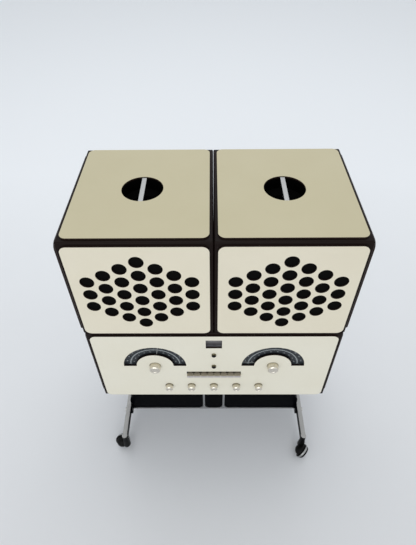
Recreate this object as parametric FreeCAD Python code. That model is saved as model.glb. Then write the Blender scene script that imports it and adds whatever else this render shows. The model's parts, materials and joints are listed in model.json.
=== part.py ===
import FreeCAD, Part
import math
import os

# A radiogram: receiver and record deck in one cabinet on a castored stand, two loudspeakers on top.
# Sizes are in millimetres and angles in degrees. The floor is z = 0, the front faces -Y, and
# x = 0 is the middle of the radiogram.

os.makedirs("parts", exist_ok=True)
Vec = FreeCAD.Vector
right = Vec(1, 0, 0)
back = Vec(0, 1, 0)
up = Vec(0, 0, 1)
down = Vec(0, 0, -1)
sides = (-1, 1)
side_names = {-1: "left", 1: "right"}
parallel_share = 0.001

# Clearances, and how far a cutting tool passes the face it opens.
overrun = 6
running_clearance = 0.05
fit_clearance = 0.2
knob_gap = 0.3

# Cabinets and the laminate sheets on their faces.
main_width = 619.5
speaker_width = 311
speaker_gap = 1
speaker_height = 292.5
cabinet_depth = 356
main_height = 287.5
stand_height = 350
sheet_thickness = 4
sheet_corner_radius = 15
sheet_side_margin = 8
side_sheet_margin = 4.5
sheet_upper_margin = 8.5
sheet_foot_margin = 5
top_edge_radius = 4.5
foot_edge_radius = 4.5
upright_edge_radius = 4

# Loudspeaker fronts: columns of round holes, each column shifted by half a step.
hole_radius = 15.6
hole_column_pitch = 36.7
hole_row_pitch = 38.6
hole_counts = (3, 4, 5, 6, 5, 4, 3)
cloth_thickness = 0.8
cloth_recess = 1
cloth_margin = 14
cloth_inset = 1

# Loudspeaker carcass and drive units.
speaker_wall = 14
baffle_thickness = 12
woofer_radius = 88
woofer_opening = 76
woofer_height = 106
woofer_depth = 62
tweeter_radius = 34
tweeter_opening = 26
tweeter_height = 233
tweeter_depth = 30
driver_flange = 4
magnet_radius_share = 0.48
magnet_depth_share = 0.34
throat_radius_share = 0.3
cone_depth_share = 0.5

# Carrying handle: a cup let into the top with a flat bar across it.
cup_radius = 46
cup_wall = 2
cup_depth = 42
cup_flange_width = 5
cup_flange_thickness = 2
cup_bevel = 12
handle_width = 10
handle_thickness = 6.5
handle_below_top = 1.5
handle_end_gap = 0.5
tang_thickness = 4.8
tang_end_gap = 0.4

# Receiver cabinet: front frame, deck well and rear opening.
main_side_wall = 18
main_foot_wall = 16
front_stile = 26
front_rail_upper = 20.5
front_rail_lower = 24
front_frame_depth = 22
bay_setback = 12
well_partition = 10
well_depth = 49.5
well_rear_wall = 8
ledge_width = 12
ledge_height = 18
fascia_side_margin = 9
fascia_upper_margin = 9

# Fascia layout: heights are above the lower edge of the fascia.
dial_spacing = 305
dial_height = 147
dial_outer_radius = 81
dial_inner_radius = 48
meter_width = 40
meter_opening_height = 32.4
meter_height = 241.6
button_heights = (197, 146)
button_radius = 5.75
button_proud = 5.5
button_bevel = 1.6
button_length = 18
button_stem_radius = 2.5
button_stem_length = 14
button_hole_clearance = 0.25
key_count = 8
key_pitch = 17.9
key_gap = 1.2
key_slot_height = 18
key_slot_end = 0.4
key_slot_centre = 110.5
key_face_height = 8
key_proud = 7.5
key_length = 10
key_bevel = 0.8
key_seat_gap = 0.25
key_stem_width = 10
key_stem_height = 6
key_stem_length = 34.5
control_count = 5
control_pitch = 61.2
control_height = 50.3

# Knobs, shafts and dial pointers.
shaft_radius = 3
shaft_length = 24
shaft_hole_clearance = 0.4
tuning_radius = 14.5
tuning_proud = 15.3
control_radius = 10.3
control_proud = 14
knob_taper = 0.6
knob_bevel = 2
knob_dish_depth = 0.7
knob_dish_share = 0.62
pointer_angles = {-1: 9, 1: -82}
pointer_width = 1.6
pointer_thickness = 0.8
pointer_reach = 78
pointer_stand_off = 0.6
sleeve_radius = 6
sleeve_tail = 6
dial_face_gap = 2
dial_plate_margin = 7
dial_plate_foot = 8
meter_frame = 2
meter_face_recess = 4
meter_needle_width = 1.2
meter_needle_proud = 1
meter_needle_margin = 4

# Chassis, transformer and circuit board.
sheet_metal = 2
chassis_end_gap = 9
chassis_depth = 270
chassis_head_gap = 2
transformer_width = 86
transformer_depth = 70
transformer_height = 72
transformer_band = 20
transformer_band_proud = 5
transformer_x = 190
transformer_y = 40
board_width = 300
board_depth = 150
board_thickness = 2
board_stand_off = 10
board_pillar_radius = 4
board_pillar_inset = 10
board_x = -60
board_y = 20
capacitor_radius = 14
capacitor_height = 50
capacitor_pitch = 40
capacitor_count = 4
heat_sink_width = 90
heat_sink_depth = 26
heat_sink_height = 34
heat_sink_gap = 16

# Rear cover with its slots and the mains inlet block.
cover_thickness = 6
slot_count = 14
slot_pitch = 34
slot_width = 8
slot_length = 90
slot_height = 130
inlet_width = 40
inlet_height = 28
inlet_proud = 3
inlet_x = 230
inlet_z = 40

# Record deck: plate, platter, spindle and pick-up arm.
deck_thickness = 4
deck_edge_gap = 0.3
platter_x = -110
platter_y = 12
platter_radius = 134
platter_thickness = 15
platter_hub_radius = 30
platter_hub_height = 5
platter_rim_step = 6
platter_mat_depth = 1.5
spindle_radius = 3.5
spindle_height = 30
arm_x = 78
arm_length = 220
arm_post_radius = 8
arm_post_height = 20
arm_pin_radius = 4
arm_pin_height = 10
arm_hub_radius = 12
arm_hub_height = 16
arm_tube_radius = 4
arm_tube_height = 9
arm_tail = 44
arm_weight_radius = 11
arm_weight_length = 26
shell_width = 18
shell_length = 34
shell_height = 8
rest_reach = 145
rest_radius = 4
rest_gap = 0.3

# Stand: two foot bars, a crossbeam between them and a column of two fins up to the cabinet.
castor_height = 60
bar_spacing = 584
bar_width = 14
bar_height = 30
boss_spacing = 357
boss_radius = 8.5
frame_depth = 136
flange_thickness = 4
fin_spacing = 66.5
fin_thickness = 6.5
fin_fillet = 18
core_setback = 4
arm_beam_height = 86
arm_beam_corner = 42
lug_thickness = 7
lug_reach = 20
lug_height = 24
seat_width = 220
seat_depth = 156
seat_thickness = 6
seat_corner = 12
seat_bolt_inset = 22
bolt_radius = 4
bolt_head_radius = 6.5
bolt_head_height = 5
bolt_bite = 12

# Ball castors: a wheel that is a slice of a ball on a tilted axle, next to a hood that is half of a smaller ball.
ball_radius = 24
hood_radius = 19.5
castor_trail = 17.5
castor_offset = 10
castor_angle_front_left = -94.7
castor_angle_front_right = -34.3
half_turn_angle = 180
axle_angle = 25
ball_split = 0.6
axle_radius = 4
axle_reach = 10
axle_end_gap = 1
collar_radius = 7
socket_radius = 9
socket_flare = 3
socket_sink = 6
stem_radius = 5
stem_length = 22
stem_end_gap = 0.5
wheel_width = 13
tread_width = 7.5
tread_groove_width = 1.2
tread_groove_depth = 0.6

# Levels and faces that follow from the sizes above.
front = -cabinet_depth / 2
carcass_front = front + sheet_thickness
carcass_back = -carcass_front
main_carcass_half = main_width / 2
main_half = main_carcass_half + sheet_thickness
main_top = stand_height + main_height
speaker_centre = (speaker_width + speaker_gap) / 2
speaker_carcass_half = speaker_width / 2
speaker_top = main_top + speaker_height
speaker_carcass_top = speaker_top - sheet_thickness
fascia_foot = stand_height + sheet_foot_margin
fascia_top = main_top - fascia_upper_margin
fascia_half = main_carcass_half - fascia_side_margin
dial_z = fascia_foot + dial_height
dial_face = carcass_front + dial_face_gap
ledge_z = main_top - well_depth
bay_front = carcass_front + bay_setback
bay_foot = stand_height + main_foot_wall
bay_top = ledge_z - ledge_height
bay_half = main_carcass_half - main_side_wall
pocket_back = carcass_front + front_frame_depth
well_front = pocket_back + well_partition
well_back = carcass_back - well_rear_wall
deck_top = ledge_z + deck_thickness
arm_y = (well_front + well_back + arm_length - arm_tail) / 2
chassis_front = bay_front + running_clearance
chassis_back = chassis_front + sheet_metal
chassis_floor = bay_foot + sheet_metal
bar_inner = (bar_spacing - bar_width) / 2
bar_outer = (bar_spacing + bar_width) / 2
bar_top = castor_height + bar_height
flange_top = castor_height + flange_thickness
seat_foot = stand_height - seat_thickness


def block(x, y, z):
    """Box between a low and a high limit on each axis."""
    return Part.makeBox(x[1] - x[0], y[1] - y[0], z[1] - z[0], Vec(x[0], y[0], z[0]))


def spread(half, middle=0):
    """Limits that lie the same way to both sides of a middle."""
    return (middle - half, middle + half)


def rod(radius, start, direction, length):
    """Round bar from a start point."""
    return Part.makeCylinder(radius, length, start, direction)


def edges_along(solid, direction, keep=None):
    """Straight edges in one direction, or those of them whose middle point is wanted."""
    found = []
    for edge in solid.Edges:
        run = edge.Vertexes[-1].Point.sub(edge.Vertexes[0].Point)
        if run.cross(direction).Length < run.Length * parallel_share:
            if keep is None or keep(edge.CenterOfMass):
                found.append(edge)
    return found


def rounded_block(x, y, z, direction, radius):
    """Box whose four edges in one direction are rounded."""
    solid = block(x, y, z)
    return solid.makeFillet(radius, edges_along(solid, direction))


def softened_block(x, y, z):
    """Cabinet block with rounded top, foot and upright edges."""
    solid = block(x, y, z)
    middle = solid.CenterOfMass.z
    shape = solid.makeFillet(upright_edge_radius, edges_along(solid, up))
    for direction in (right, back):
        tops = edges_along(solid, direction, lambda point: point.z > middle)
        feet = edges_along(solid, direction, lambda point: point.z < middle)
        shape = shape.common(solid.makeFillet(top_edge_radius, tops))
        shape = shape.common(solid.makeFillet(foot_edge_radius, feet))
    return shape


def turned(profile, start, direction):
    """Solid turned from points of radius and distance along a direction."""
    points = [Vec(radius, 0, along) for radius, along in profile]
    face = Part.Face(Part.makePolygon(points + [points[0]]))
    solid = face.revolve(Vec(0, 0, 0), up, 2 * half_turn_angle)
    if solid.Volume < 0:
        solid = solid.reversed()
    solid.Placement = FreeCAD.Placement(start, FreeCAD.Rotation(up, direction))
    return solid


def save(node, shape):
    """Write one node's solids."""
    shape.exportStep("parts/" + node + ".step")


def speaker_carcass(side):
    """Loudspeaker box with its baffle board, open at the rear for the rear sheet."""
    centre = side * speaker_centre
    x = spread(speaker_carcass_half, centre)
    carcass = softened_block(x, (carcass_front, carcass_back), (main_top, speaker_carcass_top))
    inside_x = spread(speaker_carcass_half - speaker_wall, centre)
    inside_z = (main_top + speaker_wall, speaker_carcass_top - speaker_wall)
    inside_y = (carcass_front + baffle_thickness, carcass_back + overrun)
    carcass = carcass.cut(block(inside_x, inside_y, inside_z))
    recess_x = spread(speaker_carcass_half - cloth_margin, centre)
    recess_z = (main_top + cloth_margin, speaker_carcass_top - cloth_margin)
    recess_y = (carcass_front - overrun, carcass_front + cloth_recess)
    carcass = carcass.cut(block(recess_x, recess_y, recess_z))
    for height, radius in ((woofer_height, woofer_opening), (tweeter_height, tweeter_opening)):
        start = Vec(centre, carcass_front - overrun, main_top + height)
        carcass = carcass.cut(rod(radius, start, back, baffle_thickness + 2 * overrun))
    outside = cup_radius + cup_wall + fit_clearance
    start = Vec(centre, 0, speaker_carcass_top + overrun)
    carcass = carcass.cut(rod(outside, start, down, speaker_wall + 2 * overrun))
    flange = cup_radius + cup_wall + cup_flange_width + fit_clearance
    start = Vec(centre, 0, speaker_carcass_top - cup_flange_thickness)
    return carcass.cut(rod(flange, start, up, cup_flange_thickness + overrun))


def speaker_front(side):
    """Front sheet with its columns of round holes."""
    centre = side * speaker_centre
    x = spread(speaker_carcass_half - sheet_side_margin, centre)
    z = (main_top + sheet_foot_margin, speaker_carcass_top - sheet_upper_margin)
    panel = rounded_block(x, (front, carcass_front), z, back, sheet_corner_radius)
    middle_z = (z[0] + z[1]) / 2
    holes = []
    for column, count in enumerate(hole_counts):
        hole_x = centre + (column - (len(hole_counts) - 1) / 2) * hole_column_pitch
        for row in range(count):
            hole_z = middle_z + (row - (count - 1) / 2) * hole_row_pitch
            start = Vec(hole_x, front - overrun, hole_z)
            holes.append(rod(hole_radius, start, back, sheet_thickness + 2 * overrun))
    return panel.cut(Part.makeCompound(holes))


def speaker_cloth(side):
    """Black cloth stretched behind the holes."""
    half = speaker_carcass_half - cloth_margin - cloth_inset
    z = (main_top + cloth_margin + cloth_inset, speaker_carcass_top - cloth_margin - cloth_inset)
    rear = carcass_front + cloth_recess
    return block(spread(half, side * speaker_centre), (rear - cloth_thickness, rear), z)


def drive_unit(x, z, flange_radius, cone_radius, depth):
    """One drive unit: flange, cone, basket and magnet turned as a single piece."""
    magnet = flange_radius * magnet_radius_share
    throat = cone_radius * throat_radius_share
    shoulder = depth * (1 - magnet_depth_share)
    profile = [
        (0, depth), (magnet, depth), (magnet, shoulder), (flange_radius - driver_flange, driver_flange),
        (flange_radius, driver_flange), (flange_radius, 0), (cone_radius, 0),
        (throat, depth * cone_depth_share), (0, depth * cone_depth_share),
    ]
    return turned(profile, Vec(x, carcass_front + baffle_thickness, z), back)


def speaker_drivers(side):
    """Woofer and tweeter behind the baffle board."""
    centre = side * speaker_centre
    woofer = drive_unit(centre, main_top + woofer_height, woofer_radius, woofer_opening, woofer_depth)
    tweeter = drive_unit(centre, main_top + tweeter_height, tweeter_radius, tweeter_opening, tweeter_depth)
    return Part.makeCompound([woofer, tweeter])


def speaker_top_sheet(side):
    """Laminate sheet on top of a loudspeaker, with the round hole of its handle."""
    centre = side * speaker_centre
    across = spread(speaker_carcass_half - sheet_side_margin, centre)
    along = (carcass_front + sheet_upper_margin, carcass_back - sheet_upper_margin)
    top = rounded_block(across, along, (speaker_carcass_top, speaker_top), up, sheet_corner_radius)
    start = Vec(centre, 0, speaker_carcass_top - overrun)
    return top.cut(rod(cup_radius, start, up, sheet_thickness + 2 * overrun))


def speaker_cover_sheets(side):
    """Laminate sheets on the rear and the outer side of a loudspeaker; its inner side stays bare."""
    centre = side * speaker_centre
    across = spread(speaker_carcass_half - sheet_side_margin, centre)
    along = (carcass_front + side_sheet_margin, carcass_back - side_sheet_margin)
    upright = (main_top + sheet_foot_margin, speaker_carcass_top - sheet_upper_margin)
    rear = (carcass_back, cabinet_depth / 2)
    rear_sheet = rounded_block(across, rear, upright, back, sheet_corner_radius)
    edge = centre + side * speaker_carcass_half
    x = sorted((edge, edge + side * sheet_thickness))
    return Part.makeCompound([rear_sheet, rounded_block(x, along, upright, right, sheet_corner_radius)])


def handle_cup(side):
    """Black cup under the round hole of the top sheet, notched for the handle bar."""
    outer = cup_radius + cup_wall
    flange = outer + cup_flange_width
    floor = cup_depth - cup_wall
    profile = [
        (cup_radius, 0), (flange, 0), (flange, cup_flange_thickness), (outer, cup_flange_thickness),
        (outer, cup_depth - cup_bevel), (outer - cup_bevel, cup_depth), (0, cup_depth), (0, floor),
        (cup_radius - cup_bevel, floor), (cup_radius, floor - cup_bevel),
    ]
    centre = side * speaker_centre
    cup = turned(profile, Vec(centre, 0, speaker_carcass_top), down)
    notch_x = spread(handle_width / 2 + fit_clearance, centre)
    notch_z = (speaker_carcass_top - tang_thickness - fit_clearance, speaker_carcass_top + overrun)
    return cup.cut(block(notch_x, spread(outer + fit_clearance), notch_z))


def handle_bar(side):
    """Flat aluminium bar that runs from front to rear across the cup."""
    x = spread(handle_width / 2, side * speaker_centre)
    bar_z = speaker_top - handle_below_top
    reach = math.sqrt(cup_radius ** 2 - (handle_width / 2) ** 2) - handle_end_gap
    bar = block(x, spread(reach), (bar_z - handle_thickness, bar_z))
    tang_foot = speaker_carcass_top - tang_thickness - fit_clearance
    tang_top = speaker_carcass_top - fit_clearance
    return bar.fuse(block(x, spread(cup_radius + cup_wall - tang_end_gap), (tang_foot, tang_top)))


def seat_bolt_places():
    """Where the column is bolted to the cabinet."""
    reach_x = seat_width / 2 - seat_bolt_inset
    reach_y = seat_depth / 2 - seat_bolt_inset
    return [(x * reach_x, y * reach_y) for x in sides for y in sides]


def main_carcass():
    """Receiver cabinet: front frame for the controls, well for the deck, open rear."""
    x = spread(main_carcass_half)
    solid = block(x, (carcass_front, carcass_back), (stand_height, main_top))
    carcass = solid.makeFillet(foot_edge_radius, edges_along(solid, right))
    carcass = carcass.common(solid.makeFillet(foot_edge_radius, edges_along(solid, back)))
    carcass = carcass.common(solid.makeFillet(upright_edge_radius, edges_along(solid, up)))
    pocket_z = (stand_height + front_rail_lower, main_top - front_rail_upper)
    pocket_x = spread(main_carcass_half - front_stile)
    carcass = carcass.cut(block(pocket_x, (carcass_front - overrun, pocket_back), pocket_z))
    carcass = carcass.cut(block(spread(bay_half), (bay_front, carcass_back + overrun), (bay_foot, bay_top)))
    well_z = (ledge_z, main_top + overrun)
    carcass = carcass.cut(block(spread(bay_half), (well_front, well_back), well_z))
    open_y = (well_front + ledge_width, well_back - ledge_width)
    open_z = (bay_top - overrun, ledge_z + overrun)
    carcass = carcass.cut(block(spread(bay_half - ledge_width), open_y, open_z))
    for bolt_x, bolt_y in seat_bolt_places():
        start = Vec(bolt_x, bolt_y, stand_height - overrun)
        carcass = carcass.cut(rod(bolt_radius + fit_clearance, start, up, bolt_bite + 2 * overrun))
    return carcass


def main_sheets():
    """Laminate sheets on both sides of the receiver cabinet."""
    along = (carcass_front + sheet_upper_margin, carcass_back - sheet_upper_margin)
    sheets = []
    for side in sides:
        x = sorted((side * main_carcass_half, side * main_half))
        sheets.append(rounded_block(x, along, (fascia_foot, fascia_top), right, sheet_corner_radius))
    return Part.makeCompound(sheets)


def dial_window(side, length, start_y):
    """Half ring that opens the fascia over one dial."""
    start = Vec(side * dial_spacing / 2, start_y, dial_z)
    ring = rod(dial_outer_radius, start, back, length).cut(rod(dial_inner_radius, start, back, length))
    x = spread(dial_outer_radius + overrun, start.x)
    return ring.common(block(x, (start_y, start_y + length), (dial_z, dial_z + dial_outer_radius + overrun)))


def control_places():
    """Where the five control shafts come through the fascia."""
    return [(index - (control_count - 1) / 2) * control_pitch for index in range(control_count)]


def key_places():
    """Middle line of each push key."""
    return [(index - (key_count - 1) / 2) * key_pitch for index in range(key_count)]


def key_foot():
    """Underside of the push keys."""
    return fascia_foot + key_slot_centre - key_slot_height / 2 + key_seat_gap


def fascia():
    """White front sheet of the receiver with its openings."""
    y = (front, carcass_front)
    panel = rounded_block(spread(fascia_half), y, (fascia_foot, fascia_top), back, sheet_corner_radius)
    start_y = front - overrun
    length = sheet_thickness + 2 * overrun
    through = (start_y, start_y + length)
    bore = shaft_radius + shaft_hole_clearance
    for side in sides:
        panel = panel.cut(dial_window(side, length, start_y))
        panel = panel.cut(rod(bore, Vec(side * dial_spacing / 2, start_y, dial_z), back, length))
    for x in control_places():
        panel = panel.cut(rod(bore, Vec(x, start_y, fascia_foot + control_height), back, length))
    for height in button_heights:
        start = Vec(0, start_y, fascia_foot + height)
        panel = panel.cut(rod(button_radius + button_hole_clearance, start, back, length))
    meter_z = spread(meter_opening_height / 2, fascia_foot + meter_height)
    panel = panel.cut(block(spread(meter_width / 2), through, meter_z))
    slot_z = spread(key_slot_height / 2, fascia_foot + key_slot_centre)
    slot_half = key_count * key_pitch / 2 - key_gap / 2 + key_slot_end
    return panel.cut(block(spread(slot_half), through, slot_z))


def dial_plates():
    """Black dial plates behind the half rings, each bored for its pointer sleeve."""
    plates = []
    for side in sides:
        centre = side * dial_spacing / 2
        z = (dial_z - dial_plate_foot, dial_z + dial_outer_radius + dial_plate_margin)
        plate = block(spread(dial_outer_radius + dial_plate_margin, centre), (dial_face, chassis_front), z)
        start = Vec(centre, dial_face - overrun, dial_z)
        bore = sleeve_radius + shaft_hole_clearance
        plates.append(plate.cut(rod(bore, start, back, chassis_front - dial_face + 2 * overrun)))
    return Part.makeCompound(plates)


def tuning_meter():
    """Tuning meter: a case with a sunk face and a needle on it."""
    z = spread(meter_opening_height / 2 + meter_frame, fascia_foot + meter_height)
    case = block(spread(meter_width / 2 + meter_frame), (dial_face, pocket_back), z)
    face = dial_face + meter_face_recess
    window_z = spread(meter_opening_height / 2, fascia_foot + meter_height)
    case = case.cut(block(spread(meter_width / 2), (dial_face - overrun, face), window_z))
    needle_z = (window_z[0], window_z[1] - meter_needle_margin)
    needle = block(spread(meter_needle_width / 2), (face - meter_needle_proud, face), needle_z)
    return case.fuse(needle)


def chassis():
    """Folded steel chassis: front plate with bearings for the controls, and a tray."""
    half = bay_half - chassis_end_gap
    plate_z = (bay_foot, bay_top - chassis_head_gap)
    plate = block(spread(half), (chassis_front, chassis_back), plate_z)
    tray = block(spread(half), (chassis_front, chassis_front + chassis_depth), (bay_foot, chassis_floor))
    metal = plate.fuse(tray)
    start_y = chassis_front - overrun
    length = sheet_metal + 2 * overrun
    for side in sides:
        start = Vec(side * dial_spacing / 2, start_y, dial_z)
        metal = metal.cut(rod(sleeve_radius + running_clearance, start, back, length))
    for x in control_places():
        start = Vec(x, start_y, fascia_foot + control_height)
        metal = metal.cut(rod(shaft_radius + running_clearance, start, back, length))
    for height in button_heights:
        start = Vec(0, start_y, fascia_foot + height)
        metal = metal.cut(rod(button_stem_radius + running_clearance, start, back, length))
    stem_z = key_foot() + key_face_height / 2
    for x in key_places():
        slot_x = spread(key_stem_width / 2 + fit_clearance, x)
        slot_z = spread(key_stem_height / 2 + fit_clearance, stem_z)
        metal = metal.cut(block(slot_x, (start_y, start_y + length), slot_z))
    return metal


def knob(x, z, radius, proud, length):
    """Turned knob with a dished nose, and its shaft."""
    nose = radius - knob_taper
    dish = nose * knob_dish_share
    profile = [
        (0, knob_dish_depth), (dish - knob_dish_depth, knob_dish_depth), (dish, 0), (nose - knob_bevel, 0),
        (nose, knob_bevel), (radius, proud - knob_gap), (shaft_radius, proud - knob_gap),
        (shaft_radius, proud + length), (0, proud + length),
    ]
    return turned(profile, Vec(x, front - proud, z), back)


def dial_pointer(side):
    """Dial pointer: a sleeve on the tuning shaft and a thin blade in front of the dial plate."""
    centre = Vec(side * dial_spacing / 2, 0, dial_z)
    blade_back = dial_face - pointer_stand_off
    blade_front = blade_back - pointer_thickness
    start = Vec(centre.x, blade_front, dial_z)
    length = chassis_back + sleeve_tail - blade_front
    pointer = rod(sleeve_radius, start, back, length)
    blade_z = (dial_z, dial_z + pointer_reach)
    blade = block(spread(pointer_width / 2, centre.x), (blade_front, blade_back), blade_z)
    blade.rotate(centre, back, pointer_angles[side])
    bore_start = Vec(centre.x, blade_front - overrun, dial_z)
    bore = rod(shaft_radius + running_clearance, bore_start, back, length + 2 * overrun)
    return pointer.fuse(blade).cut(bore)


def push_key(x):
    """Push key: a face block with a flat stem behind it."""
    foot = key_foot()
    key_front = front - key_proud
    half = (key_pitch - key_gap) / 2
    body = block(spread(half, x), (key_front, key_front + key_length), (foot, foot + key_face_height))
    body = body.makeFillet(key_bevel, edges_along(body, right, lambda point: point.y < front))
    stem_y = (key_front + key_length, key_front + key_length + key_stem_length)
    stem_z = spread(key_stem_height / 2, foot + key_face_height / 2)
    return body.fuse(block(spread(key_stem_width / 2, x), stem_y, stem_z))


def push_button(height):
    """Round push button on a thin stem."""
    end = button_length + button_stem_length
    profile = [
        (0, 0), (button_radius - button_bevel, 0), (button_radius, button_bevel),
        (button_radius, button_length), (button_stem_radius, button_length), (button_stem_radius, end), (0, end),
    ]
    return turned(profile, Vec(0, front - button_proud, fascia_foot + height), back)


def power_transformer():
    """Mains transformer: a core with a winding band around it."""
    core_half = transformer_width / 2
    z = (chassis_floor, chassis_floor + transformer_height)
    core = block(spread(core_half, transformer_x), spread(transformer_depth / 2, transformer_y), z)
    band_y = spread(transformer_depth / 2 + transformer_band_proud, transformer_y)
    band_z = (z[0] + transformer_band, z[1] - transformer_band)
    return core.fuse(block(spread(core_half - transformer_band, transformer_x), band_y, band_z))


def circuit_board():
    """Amplifier board on four pillars, with its capacitors and heat sink."""
    foot = chassis_floor + board_stand_off
    top = foot + board_thickness
    board = block(spread(board_width / 2, board_x), spread(board_depth / 2, board_y), (foot, top))
    for side in sides:
        for end in sides:
            x = board_x + side * (board_width / 2 - board_pillar_inset)
            y = board_y + end * (board_depth / 2 - board_pillar_inset)
            board = board.fuse(rod(board_pillar_radius, Vec(x, y, chassis_floor), up, board_stand_off))
    for index in range(capacitor_count):
        x = board_x + (index - (capacitor_count - 1) / 2) * capacitor_pitch
        board = board.fuse(rod(capacitor_radius, Vec(x, board_y, top), up, capacitor_height))
    sink_foot = board_y + capacitor_radius + heat_sink_gap
    sink_y = (sink_foot, sink_foot + heat_sink_depth)
    sink_z = (top, top + heat_sink_height)
    return board.fuse(block(spread(heat_sink_width / 2, board_x), sink_y, sink_z))


def back_cover():
    """Slotted rear cover of the receiver with the mains inlet block."""
    half = bay_half - fit_clearance
    y = (carcass_back - cover_thickness, carcass_back)
    cover = block(spread(half), y, (bay_foot + fit_clearance, bay_top - fit_clearance))
    slot_z = spread(slot_length / 2, bay_foot + slot_height)
    for index in range(slot_count):
        x = (index - (slot_count - 1) / 2) * slot_pitch
        slot_y = (y[0] - overrun, y[1] + overrun)
        cover = cover.cut(block(spread(slot_width / 2, x), slot_y, slot_z))
    inlet_y = (carcass_back, carcass_back + inlet_proud)
    inlet_span = spread(inlet_height / 2, bay_foot + inlet_z)
    return cover.fuse(block(spread(inlet_width / 2, inlet_x), inlet_y, inlet_span))


def deck_plate():
    """Deck plate in the well, with the spindle, the arm post and the arm rest."""
    y = (well_front + deck_edge_gap, well_back - deck_edge_gap)
    plate = block(spread(bay_half - deck_edge_gap), y, (ledge_z, deck_top))
    plate = plate.fuse(rod(spindle_radius, Vec(platter_x, platter_y, deck_top), up, spindle_height))
    plate = plate.fuse(rod(arm_post_radius, Vec(arm_x, arm_y, deck_top), up, arm_post_height))
    pin_start = Vec(arm_x, arm_y, deck_top + arm_post_height)
    plate = plate.fuse(rod(arm_pin_radius, pin_start, up, arm_pin_height))
    rest_height = arm_post_height + arm_tube_height - arm_tube_radius - rest_gap
    return plate.fuse(rod(rest_radius, Vec(arm_x, arm_y - rest_reach, deck_top), up, rest_height))


def platter():
    """Record platter with a sunk mat, turning on the spindle."""
    bore = spindle_radius + running_clearance
    top = platter_hub_height + platter_thickness
    mat = top - platter_mat_depth
    mat_radius = platter_radius - platter_rim_step
    profile = [
        (bore, 0), (platter_hub_radius, 0), (platter_hub_radius, platter_hub_height),
        (platter_radius, platter_hub_height), (platter_radius, top), (mat_radius, top),
        (mat_radius, mat), (bore, mat),
    ]
    return turned(profile, Vec(platter_x, platter_y, deck_top), up)


def tonearm():
    """Pick-up arm: hub, tube, head shell and counterweight."""
    foot = deck_top + arm_post_height
    hub = rod(arm_hub_radius, Vec(arm_x, arm_y, foot), up, arm_hub_height)
    axis_z = foot + arm_tube_height
    tube = rod(arm_tube_radius, Vec(arm_x, arm_y + arm_tail, axis_z), -back, arm_tail + arm_length)
    weight_start = Vec(arm_x, arm_y + arm_tail - arm_weight_length, axis_z)
    weight = rod(arm_weight_radius, weight_start, back, arm_weight_length)
    shell_y = (arm_y - arm_length, arm_y - arm_length + shell_length)
    shell_z = (axis_z - shell_height, axis_z + arm_tube_radius)
    shell = block(spread(shell_width / 2, arm_x), shell_y, shell_z)
    arm = hub.fuse(tube).fuse(weight).fuse(shell)
    start = Vec(arm_x, arm_y, foot - overrun)
    bore_length = overrun + arm_pin_height + fit_clearance
    return arm.cut(rod(arm_pin_radius + running_clearance, start, up, bore_length))


def bar_bolt_places():
    """Where a foot bar is bolted to the crossbeam, along Y."""
    reach = frame_depth / 2 + lug_reach / 2
    return [end * reach for end in sides]


def foot_bar(side):
    """Foot bar with a boss and a bore for a castor stem at each end."""
    centre = side * bar_spacing / 2
    z = (castor_height, bar_top)
    bar = block(spread(bar_width / 2, centre), spread(boss_spacing / 2), z)
    for end in sides:
        place = Vec(centre, end * boss_spacing / 2, castor_height)
        bar = bar.fuse(rod(boss_radius, place, up, bar_height))
    for end in sides:
        place = Vec(centre, end * boss_spacing / 2, castor_height - overrun)
        bore_length = overrun + stem_length + stem_end_gap
        bar = bar.cut(rod(stem_radius + running_clearance, place, up, bore_length))
    for y in bar_bolt_places():
        start = Vec(centre - bar_width, y, castor_height + bar_height / 2)
        bar = bar.cut(rod(bolt_radius + fit_clearance, start, right, 2 * bar_width))
    return bar


def fin_fillets(fin_face, direction):
    """Hollow fillet between a fin and the flange under it."""
    x = sorted((fin_face, fin_face + direction * fin_fillet))
    fillet = block(x, spread(frame_depth / 2), (flange_top, flange_top + fin_fillet))
    start = Vec(fin_face + direction * fin_fillet, -frame_depth / 2 - overrun, flange_top + fin_fillet)
    return fillet.cut(rod(fin_fillet, start, back, frame_depth + 2 * overrun))


def pedestal_frame():
    """Aluminium frame: flange under the crossbeam, two fins and the seat for the cabinet."""
    depth = spread(frame_depth / 2)
    frame = block(spread(bar_inner), depth, (castor_height, flange_top))
    seat_z = (seat_foot, stand_height)
    seat = rounded_block(spread(seat_width / 2), spread(seat_depth / 2), seat_z, up, seat_corner)
    frame = frame.fuse(seat)
    for side in sides:
        middle = side * fin_spacing / 2
        frame = frame.fuse(block(spread(fin_thickness / 2, middle), depth, (flange_top, seat_foot)))
        for direction in sides:
            frame = frame.fuse(fin_fillets(middle + direction * fin_thickness / 2, direction))
    for bolt_x, bolt_y in seat_bolt_places():
        start = Vec(bolt_x, bolt_y, seat_foot - overrun)
        frame = frame.cut(rod(bolt_radius + fit_clearance, start, up, seat_thickness + 2 * overrun))
    return frame.removeSplitter()


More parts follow.
